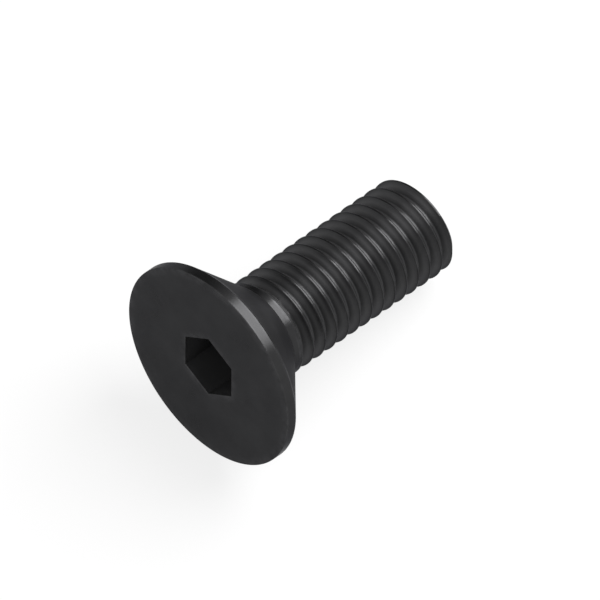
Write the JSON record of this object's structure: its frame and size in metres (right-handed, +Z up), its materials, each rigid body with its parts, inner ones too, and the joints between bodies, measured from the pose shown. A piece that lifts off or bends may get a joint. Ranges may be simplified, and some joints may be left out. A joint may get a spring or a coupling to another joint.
{
  "type": "countersunk screw",
  "caption": "Black countersunk machine screw with a flat head, a hexagon socket and a metric thread up to its head.",
  "frame": {"origin": "centre of the screw's footprint, on the surface that it lies on: Z = 0 is that surface", "axes": "+X along the screw from head to tip, seen from above, +Z up, +Y across it; the screw's own axis slopes down to the tip by 12.4 degrees, because it rests on the edge of its rim and on the last crest of its thread"},
  "size_m": [0.0295, 0.0208, 0.0205],
  "materials": {
    "black_steel": "black oxide on alloy steel, satin, with a faint sheen on the edges"
  },
  "bodies": {
    "root": {"screw": "black_steel"}
  },
  "joints": []
}
